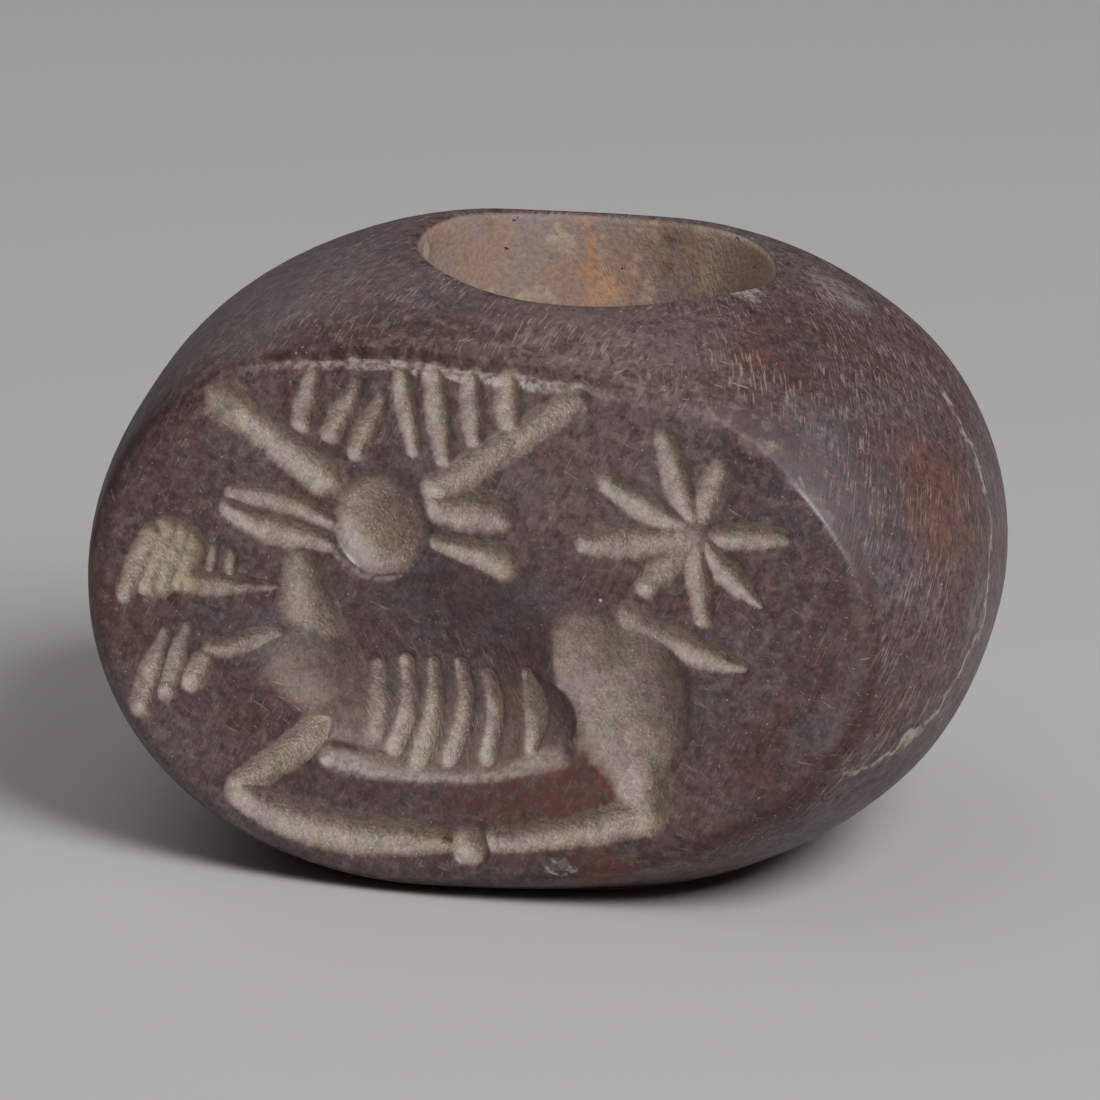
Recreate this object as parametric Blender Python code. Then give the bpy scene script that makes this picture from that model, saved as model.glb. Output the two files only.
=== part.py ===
"""A stone stamp seal: a thick ring-shaped bead with one flat oval face, cut with a stag and a star.

The bead stands on a small flat worn under it, as it would on a table. +Z is up along the bore,
the sealing face looks towards -Y, and the origin is on the ground under the middle of the bead.
Run it with: blender --background --python part.py
"""
import math
from collections import namedtuple

import bmesh
import bpy
from mathutils import Matrix, Vector

# Driving dimensions of the bead, in metres, measured from its centre along its own axes.
BEAD_LEFT = 0.0097
BEAD_RIGHT = 0.0104
BEAD_FRONT = 0.0093
BEAD_BACK = 0.0086
BEAD_TOP = 0.0075
BEAD_BOTTOM = 0.00715
PLAN_POWER = 2.8  # 2 gives an oval seen from above, and more gives a squarer one
UPRIGHT_POWER = 2.1  # the same, seen from the side
BEAD_TURN = math.radians(10.3)  # the bead's long axis is not quite parallel to its face
BEAD_LEAN = math.radians(-2.15)  # about Y: the top leans to the left

# The bore, the sealing face in front of it and the flat that the bead stands on.
BORE_RADIUS = 0.0039
BORE_RIGHT = 0.00135  # from the bead's centre to the bore's axis
BORE_BACK = 0.00015
FACE_WALL = 0.00195  # stone left between the bore and the face
EDGE_ROUNDING = 0.0004  # worn corner between the face and the bead
REST_WORN_OFF = 0.00075  # how much of the bead's underside the flat takes away

FACE_SETBACK = BORE_RADIUS - BORE_BACK + FACE_WALL  # from the bead's centre to the face
REST_DEPTH = BEAD_BOTTOM - REST_WORN_OFF  # from the bead's centre down to the flat

# The carving is drawn in millimetres on a face of this size, from the bead's centre, x to the
# right and z up. It is stretched to the face that the bead's own sizes give.
DRAWN_LEFT = -8.43
DRAWN_RIGHT = 9.28
DRAWN_LOW = -5.93
DRAWN_HIGH = 6.12
DRAWING_UNIT = 0.001
TINE_TAPER = 0.75  # width of a tine's foot as a share of its top
RAY_TAPER = 0.85  # width of a ray's tip as a share of its root

# How finely the shapes are divided.
SEGMENTS_AROUND = 64
FACE_RINGS = 3
EDGE_RINGS = 4
DOME_RINGS = 18
BORE_SEGMENTS = 48
CUTTER_SEGMENTS = 10
CUTTER_RINGS = 7
CUTTER_OVERSHOOT = 0.00006  # how far a carving cutter's own shape goes on above the face
CUTTER_CLEARANCE = 0.002  # how far every cutter stands out of the stone
SHARP_ANGLE = math.radians(35)
HALVINGS = 40  # rounds of the search for the face's edge, each twice as exact as the last

STONE_COLOUR = (0.062, 0.034, 0.029, 1.0)
STONE_ROUGHNESS = 0.38

# One stroke of the engraver: a groove from start to end with half widths there, or a round hollow.
Stroke = namedtuple("Stroke", "start end start_width end_width depth")

X_AXIS = Vector((1, 0, 0))
Y_AXIS = Vector((0, 1, 0))
BEAD_AXES = Matrix.Rotation(BEAD_LEAN, 3, "Y") @ Matrix.Rotation(BEAD_TURN, 3, "Z")
BEAD_AXES_INVERSE = BEAD_AXES.inverted()


def clear_scene():
    for item in list(bpy.data.objects):
        bpy.data.objects.remove(item, do_unlink=True)


def new_collection(name):
    collection = bpy.data.collections.new(name)
    bpy.context.scene.collection.children.link(collection)
    return collection


def direction_at(turn, opening):
    """Unit direction at an angle round the line to the face and an opening away from that line."""
    across = math.sin(opening)
    return Vector((across * math.cos(turn), -math.cos(opening), across * math.sin(turn)))


def bead_reach(direction):
    """Distance from the bead's centre to its domed surface in a direction."""
    own = BEAD_AXES_INVERSE @ direction
    half_x = BEAD_RIGHT if own.x > 0 else BEAD_LEFT
    half_y = BEAD_BACK if own.y > 0 else BEAD_FRONT
    half_z = BEAD_TOP if own.z > 0 else BEAD_BOTTOM
    plan = abs(own.x / half_x) ** PLAN_POWER + abs(own.y / half_y) ** PLAN_POWER
    upright = abs(own.z / half_z) ** UPRIGHT_POWER
    return (plan ** (UPRIGHT_POWER / PLAN_POWER) + upright) ** (-1 / UPRIGHT_POWER)


def face_reach(direction):
    """Distance from the bead's centre to the plane of the face in a direction."""
    return FACE_SETBACK / -direction.y if direction.y < 0 else math.inf


def blank_reach(direction):
    """Distance to the blank's surface: dome or face, with the corner between them rounded."""
    dome, flat = bead_reach(direction), face_reach(direction)
    if abs(dome - flat) >= EDGE_ROUNDING:
        return min(dome, flat)
    share = 0.5 + 0.5 * (flat - dome) / EDGE_ROUNDING
    return flat + (dome - flat) * share - EDGE_ROUNDING * share * (1 - share)


def edge_opening(turn, beyond=0.0):
    """Opening at which the face's plane lies that far beyond the dome, found by halving."""
    low, high = 0.0, math.pi / 2
    for _ in range(HALVINGS):
        middle = (low + high) / 2
        direction = direction_at(turn, middle)
        if face_reach(direction) - bead_reach(direction) < beyond:
            low = middle
        else:
            high = middle
    return low


def ring_opening(ring, turn):
    """Spreads the blank's rings: over the face, round its worn edge, and over the dome behind."""
    inner = edge_opening(turn, -EDGE_ROUNDING)
    outer = edge_opening(turn, EDGE_ROUNDING)
    if ring <= FACE_RINGS:
        return inner * ring / FACE_RINGS
    if ring <= FACE_RINGS + EDGE_RINGS:
        return inner + (outer - inner) * (ring - FACE_RINGS) / EDGE_RINGS
    return outer + (math.pi - outer) * (ring - FACE_RINGS - EDGE_RINGS) / DOME_RINGS


def stone_material():
    material = bpy.data.materials.new("polished_dark_red_stone")
    material.use_nodes = True
    shader = material.node_tree.nodes["Principled BSDF"]
    shader.inputs["Base Color"].default_value = STONE_COLOUR
    shader.inputs["Roughness"].default_value = STONE_ROUGHNESS
    shader.inputs["Metallic"].default_value = 0.0
    return material


def object_from(name, bm, collection):
    mesh = bpy.data.meshes.new(name)
    bm.to_mesh(mesh)
    bm.free()
    item = bpy.data.objects.new(name, mesh)
    collection.objects.link(item)
    return item


def make_blank(collection):
    """The bead before it is drilled: a sphere with its poles on the line to the face, reshaped."""
    rings = FACE_RINGS + EDGE_RINGS + DOME_RINGS
    bm = bmesh.new()
    bmesh.ops.create_uvsphere(
        bm,
        u_segments=SEGMENTS_AROUND,
        v_segments=rings,
        radius=1.0,
        matrix=Matrix.Rotation(math.pi / 2, 4, "X"),
    )
    for vertex in bm.verts:
        turn = math.atan2(vertex.co.z, vertex.co.x)
        opening = math.acos(max(-1.0, min(1.0, -vertex.co.y)))
        ring = round(opening / math.pi * rings)
        direction = direction_at(turn, ring_opening(ring, turn))
        vertex.co = direction * blank_reach(direction)
    return object_from("seal", bm, collection)


def as_cutter(item, parent):
    item.parent = parent
    item.hide_render = True
    item.display_type = "WIRE"
    return item


def make_bore_cutter(collection):
    """A round drill, upright, longer than the bead is high."""
    bm = bmesh.new()
    bmesh.ops.create_cone(
        bm,
        cap_ends=True,
        segments=BORE_SEGMENTS,
        radius1=BORE_RADIUS,
        radius2=BORE_RADIUS,
        depth=BEAD_TOP + BEAD_BOTTOM + 2 * CUTTER_CLEARANCE,
        matrix=Matrix.Translation((BORE_RIGHT, BORE_BACK, 0)),
    )
    return object_from("bore_cutter", bm, collection)


def make_rest_cutter(collection):
    """A block under the bead that takes off all below the flat."""
    width = 2 * max(BEAD_LEFT, BEAD_RIGHT, BEAD_FRONT, BEAD_BACK) + 2 * CUTTER_CLEARANCE
    height = BEAD_BOTTOM + CUTTER_CLEARANCE
    bm = bmesh.new()
    bmesh.ops.create_cube(bm, size=1.0)
    bmesh.ops.scale(bm, vec=(width, width, height), verts=bm.verts)
    bmesh.ops.translate(bm, vec=(0, 0, -REST_DEPTH - height / 2), verts=bm.verts)
    return object_from("rest_cutter", bm, collection)


def groove(points, widths, depth):
    """Strokes along a bent line, one for each stretch between its points."""
    return [
        Stroke(points[i], points[i + 1], widths[i], widths[i + 1], depth)
        for i in range(len(points) - 1)
    ]


def hollow(centre, half_width, half_height, depth):
    """A round or oval hollow, as a drill or a wheel leaves it: a stroke along its longer way."""
    x, z = centre
    if half_height > half_width:
        reach = half_height - half_width
        return [Stroke((x, z - reach), (x, z + reach), half_width, half_width, depth)]
    reach = half_width - half_height
    return [Stroke((x - reach, z), (x + reach, z), half_height, half_height, depth)]


def antlers():
    """Two beams and seven tines between them: the top, the foot and the half width of each tine."""
    strokes = groove([(-5.05, 4.48), (-2.95, 3.1)], [0.42, 0.44], 0.26)
    strokes += groove([(2.72, 5.22), (-0.35, 3.02)], [0.30, 0.34], 0.26)
    tines = (
        ((-3.2, 5.3), (-3.43, 4.2), 0.20),
        ((-2.2, 5.15), (-2.74, 4.1), 0.18),
        ((-1.65, 4.95), (-2.2, 3.75), 0.16),
        ((-1.1, 5.4), (-0.88, 3.85), 0.18),
        ((-0.42, 5.45), (-0.2, 3.75), 0.24),
        ((0.42, 5.4), (0.5, 4.25), 0.21),
        ((1.25, 5.35), (1.3, 4.6), 0.26),
    )
    for top, foot, width in tines:
        strokes += groove([top, foot], [width, TINE_TAPER * width], width)
    return strokes


def head():
    """A drilled round head and two ears, each of two leaf-shaped cuts."""
    strokes = hollow((-1.62, 2.17), 1.13, 1.22, 0.55)
    upper_lobe = [(-5.15, 2.46), (-4.4, 2.52), (-3.6, 2.38), (-2.85, 2.1)]
    lower_lobe = [(-5.25, 2.16), (-4.6, 1.90), (-3.8, 1.72), (-2.9, 1.62)]
    strokes += groove(upper_lobe, [0.14, 0.28, 0.28, 0.20], 0.24)
    strokes += groove(lower_lobe, [0.14, 0.30, 0.34, 0.22], 0.26)
    strokes += groove([(-0.4, 2.60), (0.95, 2.58)], [0.33, 0.42], 0.28)
    strokes += groove([(-0.3, 1.78), (1.0, 1.56)], [0.20, 0.33], 0.24)
    return strokes


def body():
    """Neck, chest, flank with its ribs, haunch and tail."""
    strokes = groove([(-3.4, 0.80), (-3.2, -0.45)], [0.46, 0.75], 0.26)
    strokes += hollow((-3.1, -1.2), 1.45, 1.25, 0.42)
    strokes += hollow((-0.3, -2.0), 2.95, 1.6, 0.50)
    belly = [(-2.75, -3.25), (-1.2, -3.28), (0.4, -3.15), (2.3, -2.65)]
    strokes += groove(belly, [0.36, 0.38, 0.40, 0.40], 0.42)
    ribs = ((-1.1, -1.38), (-0.42, -0.72), (0.2, -0.02), (0.85, 0.78), (1.66, 1.80))
    for top_x, foot_x in ribs:
        strokes += groove([(top_x, -1.2), (foot_x, -2.85)], [0.36, 0.40], 0.60)
    strokes += hollow((3.98, -1.3), 1.40, 2.0, 0.52)
    strokes += hollow((3.25, -0.40), 1.15, 1.25, 0.38)
    strokes += groove([(4.2, 0.34), (6.5, -0.30)], [0.40, 0.15], 0.24)
    return strokes


def legs():
    """The foreleg folded back under the belly, and the hind leg that meets it at the hooves."""
    strokes = groove([(-2.45, -2.10), (-3.7, -3.18), (-4.95, -4.12)], [0.42, 0.35, 0.30], 0.32)
    shin = [(-4.95, -4.32), (-3.9, -4.78), (-2.4, -4.97), (-0.3, -4.92)]
    strokes += groove(shin, [0.32, 0.43, 0.44, 0.30], 0.32)
    strokes += hollow((0.37, -4.93), 0.46, 0.52, 0.34)
    strokes += groove([(4.22, -2.75), (4.34, -3.75)], [0.60, 0.48], 0.38)
    strokes += groove([(4.30, -3.85), (2.6, -4.45), (0.9, -4.80)], [0.38, 0.30, 0.27], 0.30)
    return strokes


def star():
    """Eight rays round a small hollow: the angle, length and half width of each."""
    middle = Vector((5.45, 2.50))
    hub = 0.50
    strokes = hollow(middle, 0.52, hub, 0.26)
    rays = (
        (6, 2.2, 0.27),
        (69, 1.97, 0.27),
        (107, 2.4, 0.28),
        (152, 2.4, 0.30),
        (189, 2.7, 0.32),
        (229, 1.85, 0.27),
        (277, 2.0, 0.24),
        (317, 2.05, 0.22),
    )
    for angle, length, width in rays:
        outward = Vector((math.cos(math.radians(angle)), math.sin(math.radians(angle))))
        ends = [middle + outward * hub, middle + outward * (length - width)]
        strokes += groove(ends, [width, RAY_TAPER * width], 0.24)
    return strokes


def tassels():
    """Two sprays in front of the stag, each of short strokes on a stem."""
    upper = (
        ((-6.9, 1.35), (-7.62, -0.08)),
        ((-6.6, 1.5), (-7.2, 0.15)),
        ((-6.28, 1.52), (-6.8, 0.2)),
        ((-5.98, 1.22), (-6.35, 0.35)),
    )
    lower = (
        ((-6.68, -0.95), (-7.22, -2.45)),
        ((-6.2, -0.8), (-6.62, -2.1)),
        ((-5.8, -1.25), (-6.05, -1.8)),
    )
    strokes = []
    for top, foot in upper:
        strokes += groove([top, foot], [0.24, 0.15], 0.30)
    for top, foot in lower:
        strokes += groove([top, foot], [0.15, 0.25], 0.24)
    strokes += groove([(-6.0, 0.40), (-4.1, 0.46)], [0.30, 0.08], 0.22)
    strokes += groove([(-5.52, 1.08), (-5.6, 0.72)], [0.11, 0.12], 0.16)
    strokes += groove([(-5.12, 1.04), (-5.16, 0.70)], [0.12, 0.12], 0.16)
    strokes += groove([(-5.55, -1.14), (-4.1, -0.60)], [0.20, 0.26], 0.24)
    return strokes


def drawing_scale():
    """How the drawing's x and z become metres on the real face: a factor and an offset for each."""
    reach = {}
    for turn in (0.0, 0.5 * math.pi, math.pi, 1.5 * math.pi):
        reach[turn] = FACE_SETBACK * math.tan(edge_opening(turn))
    across = (reach[0.0] + reach[math.pi]) / ((DRAWN_RIGHT - DRAWN_LEFT) * DRAWING_UNIT)
    up = (reach[0.5 * math.pi] + reach[1.5 * math.pi]) / ((DRAWN_HIGH - DRAWN_LOW) * DRAWING_UNIT)
    shift_x = reach[0.0] - across * DRAWN_RIGHT * DRAWING_UNIT
    shift_z = reach[0.5 * math.pi] - up * DRAWN_HIGH * DRAWING_UNIT
    return across, up, shift_x, shift_z


def make_stroke_cutter(name, stroke, scale, collection):
    """A round-bottomed boat for one stroke, its keel as deep in the stone as the stroke.

    It is a sphere with its poles at the stroke's two ends, pulled apart between them. Across the
    stroke its section is a parabola, which is the stroke's half width wide where it meets the face.
    """
    across, up, shift_x, shift_z = scale
    start, end = (
        Vector((x * DRAWING_UNIT * across + shift_x, 0, z * DRAWING_UNIT * up + shift_z))
        for x, z in (stroke.start, stroke.end)
    )
    size = DRAWING_UNIT * math.sqrt(across * up)
    depth = stroke.depth * size
    along = X_AXIS if start == end else (end - start).normalized()
    side = Y_AXIS.cross(along)
    above = math.sqrt(1 + CUTTER_OVERSHOOT / depth)
    bm = bmesh.new()
    bmesh.ops.create_uvsphere(bm, u_segments=CUTTER_SEGMENTS, v_segments=CUTTER_RINGS, radius=1.0)
    for vertex in bm.verts:
        far_end = vertex.co.z > 0
        centre = end if far_end else start
        width = (stroke.end_width if far_end else stroke.start_width) * size * above
        inward = vertex.co.y
        if inward > 0:
            level = (depth + CUTTER_OVERSHOOT) * inward * inward - CUTTER_OVERSHOOT
        else:
            level = -CUTTER_OVERSHOOT + CUTTER_CLEARANCE * inward
        flat = centre + along * (vertex.co.z * width) + side * (vertex.co.x * width)
        vertex.co = flat + Y_AXIS * (level - FACE_SETBACK)
    return object_from(name, bm, collection)


def make_carving(collection):
    scale = drawing_scale()
    parts = {
        "antler": antlers(),
        "head": head(),
        "body": body(),
        "leg": legs(),
        "star": star(),
        "tassel": tassels(),
    }
    for name, strokes in parts.items():
        for number, stroke in enumerate(strokes, 1):
            make_stroke_cutter(f"{name}_stroke_{number}", stroke, scale, collection)


def cut_with(item, name, cutter=None, collection=None):
    modifier = item.modifiers.new(name, "BOOLEAN")
    modifier.operation = "DIFFERENCE"
    modifier.solver = "EXACT"
    if collection:
        modifier.operand_type = "COLLECTION"
        modifier.collection = collection
    else:
        modifier.object = cutter


def stand_on_ground(seal):
    """An empty at the bead's centre, placed so that the flat is on the ground under the origin."""
    xs = [vertex.co.x for vertex in seal.data.vertices]
    ys = [vertex.co.y for vertex in seal.data.vertices]
    centre = bpy.data.objects.new("bead_centre", None)
    bpy.context.scene.collection.objects.link(centre)
    centre.location = (-(min(xs) + max(xs)) / 2, -(min(ys) + max(ys)) / 2, REST_DEPTH)
    return centre


def main():
    clear_scene()
    stone = new_collection("stamp_seal")
    tools = new_collection("stamp_seal_cutters")
    gravers = new_collection("stamp_seal_carving_cutters")

    seal = make_blank(stone)
    seal.data.materials.append(stone_material())
    seal.data.shade_smooth()
    seal.data.set_sharp_from_angle(angle=SHARP_ANGLE)
    bore = make_bore_cutter(tools)
    rest = make_rest_cutter(tools)
    make_carving(gravers)

    centre = stand_on_ground(seal)
    seal.parent = centre
    for item in list(tools.objects) + list(gravers.objects):
        as_cutter(item, centre)
    cut_with(seal, "bore", cutter=bore)
    cut_with(seal, "flat_underneath", cutter=rest)
    cut_with(seal, "carving", collection=gravers)


main()
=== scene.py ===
"""Looks of a carved stone stamp seal: a thick ring-shaped bead of dark red stone with a flat oval
face, in which a lying stag, two sprays and a star are sunk.

The finished stone replaces the plain solid of the model. Lengths are metres in the model's frame,
and names that end in _MM are millimetres. The stone is shaped round the bead's centre, and the
drawing of the carving is in millimetres on the face: x to the right and z up from that centre.
"""
import math
from collections import namedtuple

import bmesh
import bpy
import numpy as np
from mathutils import Matrix, Vector


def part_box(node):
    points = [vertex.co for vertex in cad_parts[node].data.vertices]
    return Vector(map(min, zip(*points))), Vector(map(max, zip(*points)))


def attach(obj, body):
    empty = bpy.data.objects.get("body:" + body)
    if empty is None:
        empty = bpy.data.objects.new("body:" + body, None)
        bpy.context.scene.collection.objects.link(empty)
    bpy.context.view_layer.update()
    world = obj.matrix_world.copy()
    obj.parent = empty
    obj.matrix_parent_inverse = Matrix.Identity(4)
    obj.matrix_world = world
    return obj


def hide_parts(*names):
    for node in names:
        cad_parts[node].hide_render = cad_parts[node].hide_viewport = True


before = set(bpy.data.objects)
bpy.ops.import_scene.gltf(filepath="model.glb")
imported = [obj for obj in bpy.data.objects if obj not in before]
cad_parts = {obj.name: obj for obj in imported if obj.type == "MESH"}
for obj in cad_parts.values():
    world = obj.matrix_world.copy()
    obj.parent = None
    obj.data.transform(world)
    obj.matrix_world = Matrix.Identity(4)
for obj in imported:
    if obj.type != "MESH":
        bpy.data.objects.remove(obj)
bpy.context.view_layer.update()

bl_info = {
    "name": "Stamp Seal",
    "version": (1, 0, 0),
    "blender": (4, 5, 0),
    "location": "View3D > Sidebar > Seal",
    "description": "Carves and finishes a ring-shaped stone stamp seal and lights it",
    "category": "Add Mesh",
}

NODE = "seal"
MM = 0.001

# The bead's reach from its centre along its own axes, its bore and its flat places, as in the solid.
BEAD_HIGH = np.array((10.4, 8.6, 7.5)) * MM
BEAD_LOW = np.array((9.7, 9.3, 7.15)) * MM
PLAN_POWER = 2.8
UPRIGHT_POWER = 2.1
BEAD_TURN = math.radians(10.3)
BEAD_LEAN = math.radians(-2.15)
BEAD_AXES = np.array(Matrix.Rotation(BEAD_LEAN, 3, "Y") @ Matrix.Rotation(BEAD_TURN, 3, "Z"))
BORE_RADIUS = 3.9 * MM
BORE_AXIS = np.array((1.35, 0.15)) * MM
FACE_WALL = 1.95 * MM
FACE_SETBACK = BORE_RADIUS - BORE_AXIS[1] + FACE_WALL
REST_DEPTH = 6.4 * MM

# The corner between face and bead, by the angle round the face: 0 is right and 90 is up. Along
# the top the corner is cut back to a narrow upright band with a slanting facet below it.
EDGE_ANGLES = (0, 12, 25, 36, 50, 75, 100, 130, 180, 225, 270, 300, 330)
EDGE_WEAR_MM = (0.5, 0.1, 0.1, 0.18, 0.2, 0.22, 0.25, 0.4, 0.45, 0.4, 0.4, 0.8, 1.0)
FACET_ANGLES = (0, 38, 52, 68, 90, 118, 132, 150)
FACET_INSET_MM = (-0.2, -0.2, 0.14, 0.26, 0.32, 0.28, 0.1, -0.2)
FACET_SLANT = (0.3, 0.95)
SHOULDER_DROOP = 0.22 * MM
SHOULDER_MM = (3.6, 5.6)
BAND_SETBACK = 0.19 * MM
FACET_WEAR = 0.05 * MM
REST_WEAR = 0.15 * MM
LEAST_LENGTH = 0.001 * MM
# How bright the corner is rubbed, and how dull it is left, by the angle round the face.
GLINT_ANGLES = (0, 8, 24, 30, 70, 180, 300)
GLINT_SHARES = (0.4, 1.0, 1.0, 0.0, 0.0, 0.6, 0.6)
DULL_ANGLES = (24, 31, 60, 80)
DULL_SHARES = (0.0, 1.0, 1.0, 0.0)
# Waves of the dome and of the chipped facet: height, sizes, and the dome's slant from front to back.
DOME_UNEVENNESS_MM = 0.012
DOME_WAVE_MM = 3.2
DOME_WAVE_SLANT = (0.6, 0.4)
FACET_UNEVENNESS_MM = 0.02
FACET_WAVES_MM = (0.9, 0.3)
FINER_WAVE_SHARE = 0.6

# A sheet is rolled up into the bead. Its part for the face spans these places in the drawing.
FACE_SPAN_MM = (-9.2, 10.0)
FACE_RISE_MM = (-6.3, 6.5)
SIDE_BACK_MM = 8.0
COARSE_CELL_MM = 0.44
MOUTH_ROWS = 9
BORE_ROWS = 26
# Each finer pass halves the cells that turn by more than so many degrees, and those within so far
# of a cut, or of its edge from the third pass on.
PASS_TURNS = (12.0, 10.0, 10.0, 30.0)
PASS_REACH_MM = (0.25, 0.08, 0.03, 0.0)
SETTLE_ROUNDS = 4
MOUTH_HALVINGS = 30
SLOPE_STEP = 0.002 * MM
SEAM_GAP = 0.0001 * MM
FAR_MM = 9.0
BEAD_CENTRE_X = -0.3531 * MM  # the solid's box is level with the origin, and the bead's centre isn't

# How far finishes reach from the line or plane that each belongs to. A ramp is a level above the
# face or the dome and the way from there to the full finish. The facet highlight is a painted
# highlight: the bright broken line along the facet. The rim is painted shade: the darker, redder
# band behind the face's edge, which broadens with height.
FACET_HIGHLIGHT_MM = 0.05
FACET_HIGHLIGHT_RAMP_MM = (-0.2, 0.05)
FACET_HIGHLIGHT_PLACES_MM = (-6.0, -1.0, 1.8, 3.0)
FACET_HIGHLIGHT_SHARES = (0.3, 0.8, 1.0, 0.05)
CORNER_MM = 0.12
LIP_MM = 0.06
LIP_RAMP_MM = (-0.3, 0.1)
BORE_BLEND_MM = 0.2
RIM_DOME_RAMP_MM = (-0.5, 0.15)
RIM_BEHIND_RAMP_MM = (0.06, 0.2)
RIM_HEIGHTS_MM = (2.0, 5.5)
RIM_REACHES_MM = (0.5, 1.5)
RIM_FADE_SHARE = 0.6

# The surface. Jasper is a quartz, with its index of refraction.
JASPER_IOR = 1.54
POLISH = 0.46
CUT_ROUGHNESS = 0.8
SCRATCH_DEPTH_MM = 0.004
STRIATION_DEPTH_MM = 0.0015
GRAIN_HEIGHT_MM = 0.012
PIT_DEPTH_MM = 0.07
# Noises: scale, detail and roughness. The first moves patterns by up to half of the stray each way.
STRAY_NOISE = (1.4, 3.0, 0.6)
STRAY_MM = 1.2
LINE_NOISE = (1.0, 1.5, 0.5)
CLOUD_ROUGHNESS = 0.6
STAIN_CORE = 0.35
RIGHT_SIDE_MM = (3.0, 6.0)
FACE_BLEND_MM = (-5.2, -5.6)
SHOWN_DEPTHS_MM = (-0.05, 0.19)
RIM_STRENGTH = 0.85
SCRATCH_STRENGTH = 0.34
# The vein is a sheet through the stone: its direction and place, its half width from full to none,
# its strength, and where it starts towards the right.
VEIN_NORMAL = (-0.496, 0.631, -0.596)
VEIN_OFFSET_MM = -5.907
VEIN_HALF_WIDTHS_MM = (0.02, 0.14)
VEIN_STRENGTH = 0.75
VEIN_START_MM = (8.2, 9.2)
# The streak down the bore's wall, and painted light on the wall's right side, which the key light
# leaves in shade.
STREAK_HALF_WIDTHS_MM = (0.02, 0.24)
STREAK_STRENGTH = 0.5
BEHIND_BORE_MM = 1.0
PAINTED_LIGHT_WALL_MM = (1.5, 4.5)
# A painted highlight along the facet.
FACET_HIGHLIGHT_TINT = "#978982"
# Painted sheen on lips that face the light.
LIP_SHEEN_TINT = "#BDB1A9"
WHITE_TINT = "#E6E2DC"
PIT_TINT = "#4C433C"
STREAK_TINT = "#B27A50"
# Painted light on the bore's right wall.
PAINTED_LIGHT_WALL_TINT = "#C9B3A1"
# Clouds of other tints in the cuts, coloured grains over them, and clouds on the drilled wall: size
# in millimetres, noise levels where each starts and is full, seed, strength, detail and tint.
CUT_CLOUDS = (
    (0.7, 0.44, 0.62, 44, 0.7, 3.0, "#94797A"),
    (0.5, 0.50, 0.66, 45, 0.6, 3.0, "#7F836F"),
    (0.9, 0.52, 0.70, 46, 0.5, 3.0, "#A8946F"),
)
CUT_GRAINS = (
    (0.13, 0.66, 0.76, 47, 0.45, 2.0, "#66796A"),
    (0.06, 0.65, 0.73, 48, 0.6, 1.0, "#D9D0C6"),
)
BORE_CLOUDS = (
    (1.2, 0.42, 0.58, 51, 0.8, 3.0, "#83726F"),
    (0.8, 0.52, 0.66, 55, 0.6, 3.0, "#B19A82"),
    (0.5, 0.54, 0.70, 56, 0.5, 3.0, "#6E5F58"),
)
# Patches of other colour: colour, place and reach in millimetres, and strength. Those marked below
# are painted shade.
STAINS = (
    ("#56302A", (1.0, -5.7, -3.8), 1.8, 0.8),
    ("#5B2F24", (2.9, -5.7, -3.5), 1.6, 0.8),
    ("#6A2F25", (3.3, -5.4, -5.4), 1.1, 0.8),
    ("#69453A", (9.95, -2.4, 2.9), 2.4, 0.5),
    # A blue-grey patch on the dome's right, dark enough to be painted shade over the sheen there.
    ("#35333A", (8.7, -4.6, 3.6), 2.6, 0.7),
    # Painted shade over the face's upper right corner, where its rounding would catch the key light.
    ("#35262A", (6.9, -5.6, 4.8), 1.5, 0.9),
    ("#3A2A29", (7.5, -2.1, 5.5), 2.8, 0.6),
    # Painted shade over the shoulder above the top of the face.
    ("#3F2B28", (1.7, -4.5, 6.5), 2.6, 0.4),
    ("#98928A", (5.15, -1.17, 6.76), 0.55, 0.9),
    ("#857D79", (6.3, 1.8, 6.05), 1.2, 0.5),
    ("#A3AFA3", (2.45, -5.7, -5.1), 0.26, 0.8),
    ("#A3AFA3", (2.2, -5.6, -5.5), 0.24, 0.8),
    ("#5A2E26", (-8.0, -4.8, -0.2), 1.8, 0.7),
    ("#7A6966", (2.8, -5.7, 4.6), 4.2, 0.35),
    ("#6E6260", (-7.2, -5.7, -3.4), 2.2, 0.3),
)
# The same in the cuts: a brown patch in the head, and a yellowish one in the upper spray.
CUT_STAINS = (
    ("#8A6350", (-1.45, -5.3, 1.9), 1.2, 0.5),
    ("#B0A480", (-6.5, -5.5, 1.0), 1.3, 0.6),
)
# And on the drilled wall: an orange patch and two dark chinks.
BORE_STAINS = (
    ("#B98A62", (0.4, 3.95, 5.1), 0.7, 0.8),
    ("#5B4E47", (1.95, 4.0, 6.35), 0.4, 0.7),
    ("#5B4E47", (1.75, 4.04, 5.7), 0.22, 0.7),
)
WHITE_SPECKS = ((3.33, -5.7, 0.9), (-2.53, -5.5, -5.57), (-3.46, -5.5, -5.65))
SPECK_MM = 0.065

FLOOR_HALF_SIDE = 0.6
FLOOR_ROUGHNESS = 0.9


def linear(hex_colour):
    """An sRGB hex colour as linear red, green and blue."""
    values = [int(hex_colour[i:i + 2], 16) / 255 for i in (1, 3, 5)]
    return tuple(v / 12.92 if v <= 0.04045 else ((v + 0.055) / 1.055) ** 2.4 for v in values)


def length_setting(name, description, default):
    """A length that a user may change."""
    return bpy.props.FloatProperty(
        name=name, description=description, default=default, min=LEAST_LENGTH, precision=6, unit="LENGTH"
    )


def colour_setting(name, description, hex_colour):
    """A colour that a user may change."""
    return bpy.props.FloatVectorProperty(
        name=name, description=description, default=linear(hex_colour), subtype="COLOR"
    )


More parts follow.
